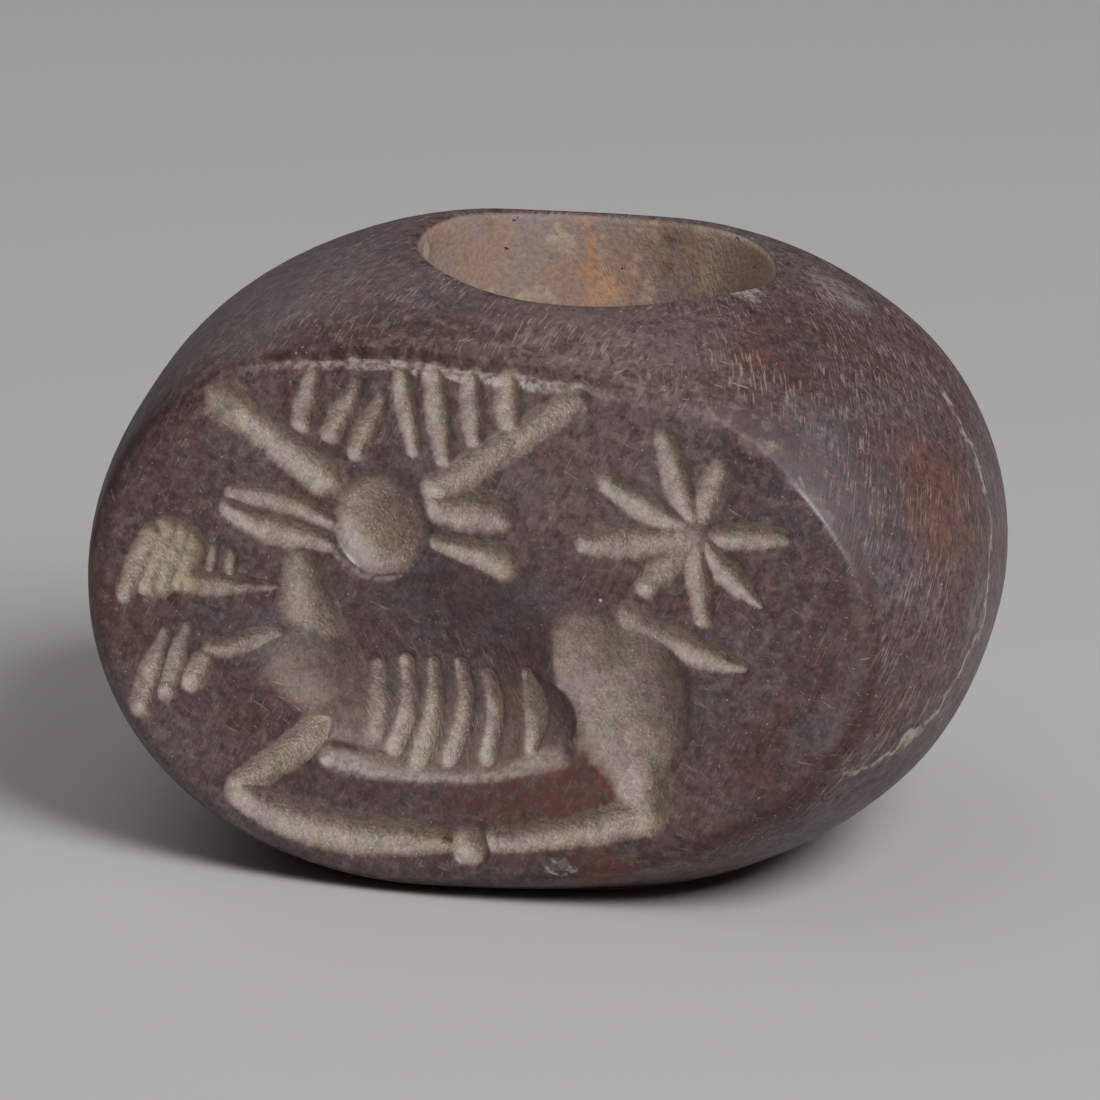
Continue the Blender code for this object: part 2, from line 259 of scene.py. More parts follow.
class SealShape(bpy.types.PropertyGroup):
    """Sizes of wear and of the engraver's hand that a user may change."""

    lip_wear: length_setting("Lip wear", "How round the lips of the cuts are worn", 0.12 * MM)
    ridge_wear: length_setting("Ridge wear", "How round the ridges between cuts are worn", 0.08 * MM)
    mouth_wear: length_setting("Mouth wear", "How round the bore's two mouths are worn", 0.3 * MM)
    unevenness: length_setting("Unevenness", "How far the hand strays from a clean line", 0.008 * MM)


class SealColours(bpy.types.PropertyGroup):
    """Colours of the stone and of the studio."""

    body: colour_setting("Stone", "Main colour of the polished stone", "#4E3B3B")
    red: colour_setting("Red zones", "Colour where the stone is thin or purer", "#50302A")
    # Painted shade: the darker, redder band behind the face's edge.
    edge: colour_setting("Edge", "Colour of the band behind the face's edge", "#3B201C")
    slate: colour_setting("Slate mottling", "Colour of the blue-grey mottling", "#504749")
    cut: colour_setting("Cut stone", "Colour of the matt stone in the cuts", "#A08F82")
    bore: colour_setting("Bore", "Colour of the drilled wall", "#8A7264")
    vein: colour_setting("Vein", "Colour of the pale vein and of the small pale flecks", "#A3A08A")
    floor: colour_setting("Floor", "Colour of the studio floor", "#B9B8B6")


def unit(vectors):
    return vectors / np.linalg.norm(vectors, axis=1)[:, None]


def worn_max(a, b, wear):
    """The larger of two heights above a surface, with the corner where they meet worn round."""
    overlap = np.maximum(wear - np.abs(a - b), 0) / wear
    return np.maximum(a, b) + overlap * overlap * wear / 4


def bead_measure(points):
    """1 on the bead's domed surface, and in step with the distance from its centre elsewhere."""
    own = points @ BEAD_AXES
    share = np.abs(own / np.where(own > 0, BEAD_HIGH, BEAD_LOW))
    plan = share[:, 0] ** PLAN_POWER + share[:, 1] ** PLAN_POWER
    return (plan ** (UPRIGHT_POWER / PLAN_POWER) + share[:, 2] ** UPRIGHT_POWER) ** (1 / UPRIGHT_POWER)


def blank_measure(points):
    """The same for the bead with its face and its flat, before any wear and the bore."""
    flats = np.maximum(-points[:, 1] / FACE_SETBACK, -points[:, 2] / REST_DEPTH)
    return np.maximum(bead_measure(points), flats)


def round_the_face(points, angles, values_mm):
    """A value given by the angle round the face, read off at each point."""
    own = np.degrees(np.arctan2(points[:, 2], points[:, 0]))
    return np.interp(own, angles, values_mm, period=360) * MM


def dome_height(points):
    return np.linalg.norm(points, axis=1) * (1 - 1 / bead_measure(points))


def ramp(values, start, length):
    """0 up to a start, and 1 from a length beyond it."""
    return np.clip((values - start) / length, 0, 1)


def bell(values, width):
    """1 where a value is 0, and nearly 0 from two widths away."""
    return np.exp(-(values / width) ** 2)


def bore_gap(points):
    """How far each point is outside the bore's wall, so that it is below 0 inside the bore."""
    return np.hypot(points[:, 0] - BORE_AXIS[0], points[:, 1] - BORE_AXIS[1]) - BORE_RADIUS


def edge_heights(points):
    """Heights above the dome, the face's plane and the facet along the top of the face."""
    x, y, z = (points[:, i] / MM for i in range(3))
    slanted = (x + DOME_WAVE_SLANT[0] * y, z - DOME_WAVE_SLANT[1] * y)
    ground = wobble(*slanted, DOME_WAVE_MM, seed=4) * DOME_UNEVENNESS_MM * MM
    inset = round_the_face(points, FACET_ANGLES, FACET_INSET_MM)
    near_face = ramp(-y, SHOULDER_MM[0], SHOULDER_MM[1] - SHOULDER_MM[0])
    droop = SHOULDER_DROOP * near_face ** 2 * np.clip(inset / max(FACET_INSET_MM) / MM, 0, 1)
    dome, face = dome_height(points) + ground + droop, -points[:, 1] - FACE_SETBACK
    chipped = wobble(x, z, FACET_WAVES_MM[0], seed=5)
    chipped = chipped + FINER_WAVE_SHARE * wobble(x, z, FACET_WAVES_MM[1], seed=6)
    rough_inset = inset + chipped * FACET_UNEVENNESS_MM * MM
    return dome, face, FACET_SLANT[0] * face + FACET_SLANT[1] * (dome + rough_inset)


def blank_height(points, mouth_wear):
    """Height above the uncarved stone's surface, below 0 in the stone."""
    dome, face, facet = edge_heights(points)
    body = worn_max(dome, face, round_the_face(points, EDGE_ANGLES, EDGE_WEAR_MM))
    ledge = -worn_max(-facet, -(face + BAND_SETBACK), FACET_WEAR)
    body = worn_max(body, ledge, FACET_WEAR)
    body = worn_max(body, -bore_gap(points), mouth_wear)
    return worn_max(body, -points[:, 2] - REST_DEPTH, REST_WEAR)


# The carving, in millimetres. A stroke runs through its points with a half width at each. A hollow
# is an oval left by a drill or a wide wheel: its centre, half sizes, tilt in degrees, and how far
# down and to the right its deepest place lies, as shares of its half sizes; a soft above 1 flattens
# its rim. A cut's finish is 1 where the tool left it matt and 0 where it was polished again. A cut
# may follow the floor of those before it instead of the face.
Stroke = namedtuple("Stroke", "points widths depth finish follows", defaults=(1.0, False))
Hollow = namedtuple(
    "Hollow", "centre half_width half_height tilt depth low right soft finish follows",
    defaults=(0.0, 0.0, 1.0, 1.0, False),
)
CURVE_STEPS = 3
STEEPEST = 0.95  # a groove's greatest depth as a share of its half width
GROOVE_SOFTNESS = 1.2  # above 1, a groove's walls lean out towards its lips
SHOWN_REACH = 1.24  # how far its matt finish reaches, as a share of its half width
FINISH_BLEND_MM = 0.05  # how much deeper than those before it a cut must be to show its own finish
CUT_MARGIN_MM = 0.8  # how far round a cut its distance matters
STRAY_WAVE_MM = 0.9  # the size of the hand's waves along a line
FLOOR_WAVE_MM = 0.34  # the size of the waves on the floor of a cut
FLOOR_WAVE_SHARE = 0.3  # their height, as a share of the unevenness
FLOOR_FROM_MM = 0.1  # how deep a cut is where they reach their full height
WAVE_COUNT = 7
WAVE_SPREAD = (0.7, 1.4)
NOT_ZERO = 1e-12
ROUNDING = 1e-6


def antlers():
    """Two beams, and seven tines between them, widest in the middle: top, foot, half widths there."""
    cuts = [
        Stroke(((-5.2, 4.55), (-4.3, 3.95)), (0.5, 0.48), 0.13),
        Stroke(((-4.75, 4.28), (-4.0, 3.8), (-2.95, 3.1)), (0.36, 0.43, 0.46), 0.24),
        Stroke(((2.82, 5.3), (1.3, 4.2), (-0.4, 2.98)), (0.29, 0.34, 0.34), 0.25),
    ]
    tines = (
        ((-3.15, 5.34), (-3.45, 4.25), 0.17, 0.26),
        ((-2.15, 5.2), (-2.76, 4.05), 0.15, 0.24),
        ((-1.6, 4.95), (-2.2, 3.7), 0.13, 0.22),
        ((-1.15, 5.5), (-0.88, 3.85), 0.19, 0.16),
        ((-0.42, 5.52), (-0.2, 3.75), 0.26, 0.22),
        ((0.42, 5.5), (0.5, 4.2), 0.23, 0.2),
        ((1.25, 5.5), (1.3, 4.6), 0.29, 0.26),
    )
    for top, foot, top_width, foot_width in tines:
        belly = 0.1 + 0.75 * (top_width + foot_width) / 2
        cuts.append(Stroke((top, halfway(top, foot), foot), (top_width, belly, foot_width), depth=0.22))
    return cuts


def head():
    """A drilled round head and two ears, each of two leaf-shaped cuts."""
    return [
        Hollow((-1.62, 2.17), 1.13, 1.22, 0, 0.52, low=0.42, right=-0.36, finish=0.68),
        Stroke(((-5.05, 2.5), (-4.4, 2.52), (-3.6, 2.38), (-2.85, 2.1)), (0.2, 0.29, 0.28, 0.22), 0.2),
        Stroke(((-5.15, 2.14), (-4.6, 1.92), (-3.8, 1.72), (-2.9, 1.62)), (0.22, 0.33, 0.36, 0.24), 0.22),
        Stroke(((-0.4, 2.6), (0.3, 2.57), (1.0, 2.54)), (0.34, 0.41, 0.36), 0.22),
        Stroke(((-0.35, 1.82), (0.4, 1.7), (1.12, 1.5)), (0.2, 0.29, 0.38), 0.22),
    ]


def body():
    """Neck, shoulder, flank with its ribs, haunch and tail. The flank deepens towards the belly."""
    cuts = [
        Stroke(((-3.4, 1.0), (-3.35, 0.2), (-3.1, -0.6)), (0.46, 0.62, 0.95), 0.26, 0.6),
        Hollow((-3.0, -1.2), 1.62, 1.32, -12, 0.42, low=0.2, soft=1.3, finish=0.38),
        Hollow((-0.35, -0.65), 2.85, 1.85, 3, 0.42, low=0.3, finish=0.0),
        Hollow((-0.28, -2.1), 3.1, 1.42, 4, 0.6, right=-0.1, soft=0.6, finish=0.2),
        Hollow((-0.3, -2.1), 3.1, 1.4, 4, 0.1, low=0.2, finish=0.3, follows=True),
        Stroke(((-2.8, -3.2), (-1.2, -3.26), (0.4, -3.13), (2.4, -2.65)), (0.36, 0.4, 0.42, 0.42), 0.34, 0.4),
        Hollow((3.98, -1.3), 1.42, 2.04, 3, 0.54, low=0.25, right=0.3, finish=0.54),
        Hollow((3.22, -0.45), 1.22, 1.36, 8, 0.42, low=0.2, soft=1.2, finish=0.5),
        Stroke(((4.0, 0.4), (5.2, 0.06), (5.9, -0.13), (6.55, -0.3)), (0.5, 0.37, 0.3, 0.12), 0.24, 0.85),
        Stroke(((-1.88, -1.2), (-1.97, -2.8)), (0.2, 0.24), 0.05, 0.7, True),
    ]
    ribs = (
        (((-1.22, -1.02), (-1.24, -2.0), (-1.5, -3.05)), (0.17, 0.21, 0.22)),
        (((-0.6, -1.05), (-0.68, -2.1), (-0.92, -3.25)), (0.16, 0.21, 0.23)),
        (((0.03, -1.0), (0.06, -2.0), (-0.22, -3.15)), (0.17, 0.21, 0.22)),
        (((0.66, -1.2), (0.74, -2.0), (0.64, -3.05)), (0.18, 0.22, 0.22)),
        (((1.6, -1.0), (1.74, -1.8), (1.66, -2.75)), (0.14, 0.34, 0.16)),
    )
    return cuts + [Stroke(line, widths, depth=0.13, finish=0.85, follows=True) for line, widths in ribs]


# Painted sheen on lips that face the light: along the belly, wide at both ends, and under the head.
BELLY_LIP = (
    (-3.02, -3.38), (-2.6, -3.45), (-1.9, -3.58), (-0.8, -3.57), (0.9, -3.39), (1.74, -3.0), (2.62, -2.55)
)
HEAD_LIP = ((-2.88, 1.7), (-2.6, 1.22), (-2.2, 0.96), (-1.65, 0.86), (-1.2, 0.98))
PAINTED_LIP_SHEENS = (
    Stroke(BELLY_LIP, (0.1, 0.28, 0.16, 0.11, 0.12, 0.22, 0.3), 1.0),
    Stroke(HEAD_LIP, (0.04, 0.1, 0.11, 0.09, 0.04), 1.0),
)


def legs():
    """The foreleg folded back under the belly, and the hind leg that meets it at the hooves."""
    return [
        Stroke(((-2.4, -2.0), (-3.2, -2.75), (-4.1, -3.5), (-5.0, -4.17)), (0.42, 0.4, 0.33, 0.28), 0.3),
        Stroke(((-4.95, -4.35), (-3.9, -4.72), (-2.4, -4.97), (-0.3, -4.92)), (0.33, 0.46, 0.46, 0.3), 0.28),
        Hollow((0.37, -4.95), 0.47, 0.53, 0, 0.33, low=0.2),
        Stroke(((4.22, -2.75), (4.33, -3.3), (4.34, -3.78)), (0.66, 0.58, 0.5), 0.38, 0.75),
        Stroke(((4.3, -3.87), (3.4, -4.22), (2.4, -4.5), (0.9, -4.8)), (0.44, 0.36, 0.32, 0.28), 0.27),
    ]


def star():
    """Eight rays round a small hollow: the angle, length, half width and end width of each."""
    centre = Vector((5.45, 2.5))
    cuts = [Hollow(tuple(centre), 0.52, 0.5, 0, 0.26, finish=0.5)]
    rays = (
        (6, 2.2, 0.30, 0.19),
        (69, 1.95, 0.34, 0.26),
        (107, 2.4, 0.33, 0.24),
        (152, 2.4, 0.34, 0.24),
        (189, 2.7, 0.36, 0.24),
        (229, 1.85, 0.31, 0.24),
        (277, 2.0, 0.27, 0.19),
        (317, 2.1, 0.29, 0.06),
    )
    for angle, length, width, end in rays:
        outward = Vector((math.cos(math.radians(angle)), math.sin(math.radians(angle))))
        points = [tuple(centre + outward * share * (length - end)) for share in (0.16, 0.6, 1.0)]
        cuts.append(Stroke(points, (0.85 * width, width, end), depth=0.21, finish=0.95))
    return cuts


def sprays():
    """Two sprays in front of the stag, each of short strokes on a stem."""
    upper = (
        ((-6.93, 1.35), (-7.62, -0.05)),
        ((-6.6, 1.55), (-7.15, 0.15)),
        ((-6.25, 1.52), (-6.78, 0.2)),
        ((-5.95, 1.25), (-6.4, 0.3)),
    )
    lower = (
        ((-6.65, -0.82), (-7.27, -2.55)),
        ((-6.12, -0.65), (-6.67, -2.12)),
        ((-5.62, -1.15), (-6.05, -1.85)),
    )
    cuts = [Hollow((-6.6, 0.86), 1.12, 0.66, 58, 0.2, soft=0.7)]
    for ends, widths in ((upper, (0.27, 0.29, 0.19)), (lower, (0.12, 0.27, 0.28))):
        cuts += [Stroke((top, halfway(top, foot), foot), widths, depth=0.22) for top, foot in ends]
    return cuts + [
        Stroke(((-6.1, 0.4), (-5.2, 0.42), (-4.05, 0.47)), (0.32, 0.24, 0.05), 0.2),
        Stroke(((-5.5, 1.18), (-5.6, 0.72)), (0.12, 0.12), 0.14),
        Stroke(((-5.1, 1.12), (-5.16, 0.68)), (0.12, 0.12), 0.14),
        Stroke(((-5.6, -1.13), (-4.9, -0.9), (-4.1, -0.6)), (0.2, 0.24, 0.24), 0.2),
    ]


def halfway(a, b):
    return ((a[0] + b[0]) / 2, (a[1] + b[1]) / 2)


def curved(cut):
    """A stroke's points and widths with more between them, on a curve through all of them."""
    given = np.column_stack((cut.points, cut.widths))
    knots = np.vstack((2 * given[0] - given[1], given, 2 * given[-1] - given[-2]))
    line = []
    for a, b, c, d in zip(knots, knots[1:], knots[2:], knots[3:]):
        for step in range(CURVE_STEPS):
            t = step / CURVE_STEPS
            bend = (2 * a - 5 * b + 4 * c - d) * t * t + (3 * b - a - 3 * c + d) * t ** 3
            line.append(b + ((c - a) * t + bend) / 2)
    return np.array(line + [given[-1]])


def stroke_shape(cut, x, z):
    """How a stroke shows at each place, its depth, and the distance to its edge.

    Its section is a softened parabola. It is shallower where it is narrow, but shows as much there.
    """
    shown, depth, edge = -FAR_MM, -FAR_MM, FAR_MM
    line = curved(cut)
    for (x0, z0, width0), (x1, z1, width1) in zip(line, line[1:]):
        run_x, run_z = x1 - x0, z1 - z0
        share = ((x - x0) * run_x + (z - z0) * run_z) / (run_x * run_x + run_z * run_z)
        share = np.clip(share, 0, 1)
        width = width0 + (width1 - width0) * share
        off = np.hypot(x - x0 - share * run_x, z - z0 - share * run_z)
        profile = 1 - (off / width) ** 2
        shown = np.maximum(shown, cut.depth * (1 - (off / width / SHOWN_REACH) ** 2))
        worn = np.where(profile > 0, np.abs(profile) ** GROOVE_SOFTNESS, profile)
        depth = np.maximum(depth, np.minimum(cut.depth, STEEPEST * width) * worn)
        edge = np.minimum(edge, off - width)
    return shown, depth, edge


def hollow_shape(cut, x, z):
    """The same for an oval hollow, whose deepest place may lie away from its centre."""
    tilt = math.radians(cut.tilt)
    right, up = x - cut.centre[0], z - cut.centre[1]
    along = (right * math.cos(tilt) + up * math.sin(tilt)) / cut.half_width
    across = (up * math.cos(tilt) - right * math.sin(tilt)) / cut.half_height
    off_x, off_z = along - cut.right, across + cut.low
    off = off_x ** 2 + off_z ** 2 + NOT_ZERO
    lean = off_x * cut.right - off_z * cut.low
    share = off / (np.sqrt(lean ** 2 + off * (1 - cut.right ** 2 - cut.low ** 2)) - lean)
    inside = np.clip(1 - share * share, 0, None) ** cut.soft
    depth = cut.depth * np.where(share < 1, inside, 1 - share * share)
    return depth, depth, (np.hypot(along, across) - 1) * min(cut.half_width, cut.half_height)


def near_cut(cut, x, z):
    """Where a cut can matter: inside its own box with a margin round it."""
    if isinstance(cut, Stroke):
        xs, zs = zip(*cut.points)
        reach_x = reach_z = max(cut.widths) + CUT_MARGIN_MM
    else:
        xs, zs = (cut.centre[0],), (cut.centre[1],)
        reach_x, reach_z = cut.half_width + CUT_MARGIN_MM, cut.half_height + CUT_MARGIN_MM
    in_x = (x > min(xs) - reach_x) & (x < max(xs) + reach_x)
    return in_x & (z > min(zs) - reach_z) & (z < max(zs) + reach_z)


def wobble(x, z, size, seed):
    """A gentle unevenness of about -1 to 1, as a hand leaves it: waves of about one size."""
    chance = np.random.default_rng(seed)
    total = np.zeros(x.shape)
    for _ in range(WAVE_COUNT):
        angle, phase = chance.uniform(0, 2 * math.pi, 2)
        length = size * chance.uniform(*WAVE_SPREAD)
        total += np.sin((x * math.cos(angle) + z * math.sin(angle)) * 2 * math.pi / length + phase)
    return total / math.sqrt(WAVE_COUNT)


def in_front(points):
    """The points that the carving can reach: those of the stone's front half."""
    return points[:, 1] < -0.5 * FACE_SETBACK


def carving_at(points, cuts, shape):
    """Depth below the face, distance to the nearest cut's edge, finish, and how much cuts show."""
    x, z = points[:, 0] / MM, points[:, 2] / MM
    stray = shape.unevenness / MM
    x_drawn = x + stray * wobble(x, z, STRAY_WAVE_MM, seed=1)
    z_drawn = z + stray * wobble(x, z, STRAY_WAVE_MM, seed=2)
    depth = np.full(x.shape, -FAR_MM)
    edge = np.full(x.shape, FAR_MM)
    finish = np.zeros(x.shape)
    shown = np.zeros(x.shape)
    for cut in cuts:
        near = near_cut(cut, x_drawn, z_drawn)
        shape_of = stroke_shape if isinstance(cut, Stroke) else hollow_shape
        own_shown, own_depth, own_edge = shape_of(cut, x_drawn[near], z_drawn[near])
        if cut.follows:
            own_shown = own_shown + shown[near]
            own_depth = own_depth + np.maximum(depth[near], 0)
        share = ramp(own_depth, depth[near], FINISH_BLEND_MM)
        finish[near] += (cut.finish - finish[near]) * share
        depth[near] = worn_max(depth[near], own_depth, shape.ridge_wear / MM)
        edge[near] = np.minimum(edge[near], own_edge)
        shown[near] = np.maximum(shown[near], own_shown)
    waves = FLOOR_WAVE_SHARE * stray * wobble(x, z, FLOOR_WAVE_MM, seed=3)
    depth += waves * ramp(depth, 0, FLOOR_FROM_MM)
    return depth * MM, edge * MM, finish, shown


def finished_height(points, cuts, shape):
    """Height above the finished stone's surface, with the cuts in its face."""
    height = blank_height(points, shape.mouth_wear)
    front = in_front(points)
    depth = carving_at(points[front], cuts, shape)[0]
    cut_height = depth - (points[front, 1] + FACE_SETBACK)
    height[front] = worn_max(height[front], cut_height, shape.lip_wear)
    return height


def slope(points, height):
    """How fast a height grows along x, y and z at each point."""
    here = height(points)
    steps = np.eye(3) * SLOPE_STEP
    return here, np.column_stack([(height(points + step) - here) / SLOPE_STEP for step in steps])


def mouth_points(plan, side):
    """Where upright lines on the bore's wall leave the blank, above (side 1) or below (side -1)."""
    inner, outer = np.zeros(len(plan)), np.full(len(plan), side * FAR_MM * MM)
    for _ in range(MOUTH_HALVINGS):
        middle = (inner + outer) / 2
        within = blank_measure(np.column_stack((plan, middle))) < 1
        inner = np.where(within, middle, inner)
        outer = np.where(within, outer, middle)
    return np.column_stack((plan, inner))


def rolled_up(sheet, row_counts):
    """Where a flat sheet's points go when it is rolled up into a bead with a bore.

    Along the sheet the way is round the bead, from the left end of its face. Across the sheet it
    is up the outside, in over the top, down the bore and out again underneath.
    """
    around, across = sheet[:, 0] + 0.5, sheet[:, 1] + 0.5
    left, right = (place * MM for place in FACE_SPAN_MM)
    low, high = (place * MM for place in FACE_RISE_MM)
    front, back = -FACE_SETBACK, SIDE_BACK_MM * MM
    width, depth = right - left, back - front
    corners = np.cumsum((0, width, depth, width, depth)) / (2 * (width + depth))
    x = np.interp(around, corners, (left, right, right, left, left))
    y = np.interp(around, corners, (front, front, back, back, front))

    turn = np.arctan2(y - BORE_AXIS[1], x - BORE_AXIS[0])
    on_bore = BORE_AXIS + BORE_RADIUS * np.column_stack((np.cos(turn), np.sin(turn)))
    top, bottom = mouth_points(on_bore, 1), mouth_points(on_bore, -1)

    stops = np.cumsum((0, *row_counts)) / sum(row_counts)
    rise = np.interp(across, stops, (low, high, high, low, low))
    inward = np.interp(across, stops, (0, 0, 1, 1, 0))[:, None]
    mouth = np.where((across < (stops[2] + stops[3]) / 2)[:, None], top, bottom)
    towards = unit(np.column_stack((x, y, rise))) * (1 - inward) + unit(mouth) * inward
    outside = towards / blank_measure(towards)[:, None]

    down = np.interp(across, stops[2:4], (0, 1))[:, None]
    return np.where(inward > 1 - ROUNDING, top + (bottom - top) * down, outside)


def coordinates(bm):
    return np.array([vertex.co for vertex in bm.verts], float)


def set_coordinates(bm, points):
    for vertex, point in zip(bm.verts, points):
        vertex.co = point


def settle(bm, shape):
    """Moves every point straight to the worn surface of the blank."""
    points = coordinates(bm)
    for _ in range(SETTLE_ROUNDS):
        height, rate = slope(points, lambda p: blank_height(p, shape.mouth_wear))
        points -= rate * (height / (rate * rate).sum(axis=1))[:, None]
    set_coordinates(bm, points)


def pushed_in(points, cuts, shape):
    """The points of the blank's front moved straight back to the bottom of the cuts."""
    moved = points.copy()
    front = in_front(points)
    depth = carving_at(points[front], cuts, shape)[0]
    moved[front, 1] = worn_max(points[front, 1], depth - FACE_SETBACK, shape.lip_wear)
    return moved


def refine(bm, cuts, shape, turn_limit, reach, at_edges_only):
    """Halves the cells where the finished surface turns sharply or a cut is near."""
    points = coordinates(bm)
    _, rate = slope(pushed_in(points, cuts, shape), lambda p: finished_height(p, cuts, shape))
    normals = unit(rate)
    edge = carving_at(points, cuts, shape)[1]
    away = np.abs(edge) if at_edges_only else edge
    near = (away < reach) & in_front(points)
    least_likeness = math.cos(math.radians(turn_limit))
    bm.verts.index_update()
    chosen = set()
    for face in bm.faces:
        ids = [vertex.index for vertex in face.verts]
        own = normals[ids]
        if near[ids].any() or (own @ own.T).min() < least_likeness:
            chosen.update(face.edges)
    bmesh.ops.subdivide_edges(bm, edges=list(chosen), cuts=1, use_grid_fill=True, use_single_edge=True)


def fitted_to_solid(points):
    """The points moved and stretched by a hair so that their box is the solid's box."""
    low, high = (np.array(corner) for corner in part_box(NODE))
    own_low, own_high = points.min(axis=0), points.max(axis=0)
    return low + (points - own_low) * (high - low) / (own_high - own_low)


def build_stone(shape):
    """The whole stone as one mesh: a sheet rolled up, worn, divided finer and carved."""
    cell = COARSE_CELL_MM
    round_length = 2 * (FACE_SPAN_MM[1] - FACE_SPAN_MM[0] + SIDE_BACK_MM + FACE_SETBACK / MM)
    side_rows = round((FACE_RISE_MM[1] - FACE_RISE_MM[0]) / cell)
    row_counts = (side_rows, MOUTH_ROWS, BORE_ROWS, MOUTH_ROWS)
    bm = bmesh.new()
    bmesh.ops.create_grid(bm, x_segments=round(round_length / cell), y_segments=sum(row_counts), size=0.5)
    set_coordinates(bm, rolled_up(coordinates(bm), row_counts))
    bmesh.ops.remove_doubles(bm, verts=bm.verts, dist=SEAM_GAP)
    if bm.calc_volume(signed=True) < 0:
        bmesh.ops.reverse_faces(bm, faces=bm.faces)
    settle(bm, shape)
    cuts = antlers() + head() + body() + legs() + star() + sprays()
    passes = list(zip(PASS_TURNS, PASS_REACH_MM))
    for number, (turn_limit, reach) in enumerate(passes):
        refine(bm, cuts, shape, turn_limit, reach * MM, at_edges_only=number > 1)
        settle(bm, shape)
    return bm, cuts


def finishes_at(points, cuts, shape):
    """What the material has to know at each point, as shares from 0 to 1, by attribute."""
    x, z = points[:, 0] / MM, points[:, 2] / MM
    _, edge, finish, shown = carving_at(points, cuts, shape)
    front = in_front(points)
    dome, face, facet = (height / MM for height in edge_heights(points))
    # Painted highlight: a pale broken line along the facet, where its polish catches the top light.
    painted_highlight = bell(facet, FACET_HIGHLIGHT_MM) * ramp(face, *FACET_HIGHLIGHT_RAMP_MM)
    painted_highlight *= np.interp(x, FACET_HIGHLIGHT_PLACES_MM, FACET_HIGHLIGHT_SHARES)
    # Painted shade: a darker, redder band behind the face's edge, broader higher up.
    rim = ramp(dome, *RIM_DOME_RAMP_MM) * ramp(-face, *RIM_BEHIND_RAMP_MM)
    reach = np.interp(z, RIM_HEIGHTS_MM, RIM_REACHES_MM)
    corner = bell(dome - face, CORNER_MM)
    glint = corner * (round_the_face(points, GLINT_ANGLES, GLINT_SHARES) / MM)
    lip = np.where(front, bell(edge / MM, LIP_MM) * ramp(face, *LIP_RAMP_MM), 0)
    # Painted sheen along the lips that face the light.
    sheen = np.maximum(*(stroke_shape(sheen_line, x, z)[0] for sheen_line in PAINTED_LIP_SHEENS))
    return {
        "cut_depth": np.where(front, shown, 0),
        "lip_sheen": np.where(front, np.clip(sheen, 0, 1), 0),
        "cut_finish": finish,
        "bore_wall": np.clip(1 - bore_gap(points) / (BORE_BLEND_MM * MM), 0, 1),
        "rim_shade": rim * ramp(face, -reach, RIM_FADE_SHARE * reach) * (1 - painted_highlight),
        "facet_highlight": painted_highlight,
        "worn_edge": np.maximum(glint, lip),
        "dull_edge": corner * round_the_face(points, DULL_ANGLES, DULL_SHARES) / MM,
    }


def finished_object(bm, name):
    mesh = bpy.data.meshes.new(name)
    bm.to_mesh(mesh)
    bm.free()
    piece = bpy.data.objects.new(name, mesh)
    bpy.context.scene.collection.objects.link(piece)
    return piece


def stone_object(shape):
    bm, cuts = build_stone(shape)
    points = coordinates(bm)
    set_coordinates(bm, fitted_to_solid(pushed_in(points, cuts, shape)))
    stone = finished_object(bm, "carved_stone")
    for name, shares in finishes_at(points, cuts, shape).items():
        attribute = stone.data.attributes.new(name, "FLOAT", "POINT")
        attribute.data.foreach_set("value", np.asarray(shares, np.float32))
    stone.data.shade_smooth()
    return stone


SMOOTH = {"interpolation_type": "SMOOTHSTEP"}
TIMES = {"operation": "MULTIPLY"}


def add_node(tree, kind, inputs=(), output=None, **settings):
    """Adds a shader node with its settings, sets or links its inputs, and gives one output.

    The kind is the node's type without ShaderNode in front. The inputs are named in a dictionary,
    or come in the order in which the node shows them.
    """
    node = tree.nodes.new("ShaderNode" + kind)
    for name, value in settings.items():
        setattr(node, name, value)
    shown = [socket for socket in node.inputs if socket.enabled]
    pairs = zip(shown, inputs)
    if isinstance(inputs, dict):
        pairs = [(next(s for s in shown if s.name == name), value) for name, value in inputs.items()]
    for socket, value in pairs:
        if isinstance(value, bpy.types.NodeSocket):
            tree.links.new(value, socket)
        else:
            socket.default_value = value
    given = [socket for socket in node.outputs if socket.enabled and output in (None, socket.name)]
    return given[0] if given else None


def clouds(tree, place, size_mm, low, high, seed, top=1.0, detail=3.0):
    """Cloudy patches of about one size: 0 outside them and the top value inside."""
    moves = (place, [1 / size_mm] * 3, (seed, 3 * seed, -2 * seed))
    moved = add_node(tree, "VectorMath", moves, operation="MULTIPLY_ADD")
    noise = add_node(tree, "TexNoise", (moved, 1.0, detail, CLOUD_ROUGHNESS))
    return add_node(tree, "MapRange", (noise, low, high, 0.0, top), **SMOOTH)


def lines(tree, place, turn, length_mm, width_mm, low, high, seed):
    """Straight marks of one family: thin sheets through the stone, so that they show as lines."""
    angles = [math.radians(angle) for angle in turn]
    moves = (place, (seed, seed, seed), angles, (length_mm, length_mm, width_mm))
    along = add_node(tree, "Mapping", moves, vector_type="TEXTURE")
    noise = add_node(tree, "TexNoise", (along, *LINE_NOISE))
    return add_node(tree, "MapRange", (noise, low, high), **SMOOTH)


def layered(tree, colour, layers):
    """A colour with others laid over it in turn, each where its own share is."""
    for share, tint in layers:
        tint = tint if isinstance(tint, bpy.types.NodeSocket) else (*tint, 1.0)
        colour = add_node(tree, "Mix", (share, colour, tint), data_type="RGBA")
    return colour


def added(tree, *values):
    """The sum of several shares or heights, each of which may come with a factor."""
    total = 0.0
    for value, factor in values:
        total = add_node(tree, "Math", (value, factor, total), operation="MULTIPLY_ADD")
    return total


def cloud_layers(tree, place, rows):
    """Layers for cloudy patches of other tints."""
    return [(clouds(tree, place, *pattern), linear(tint)) for *pattern, tint in rows]


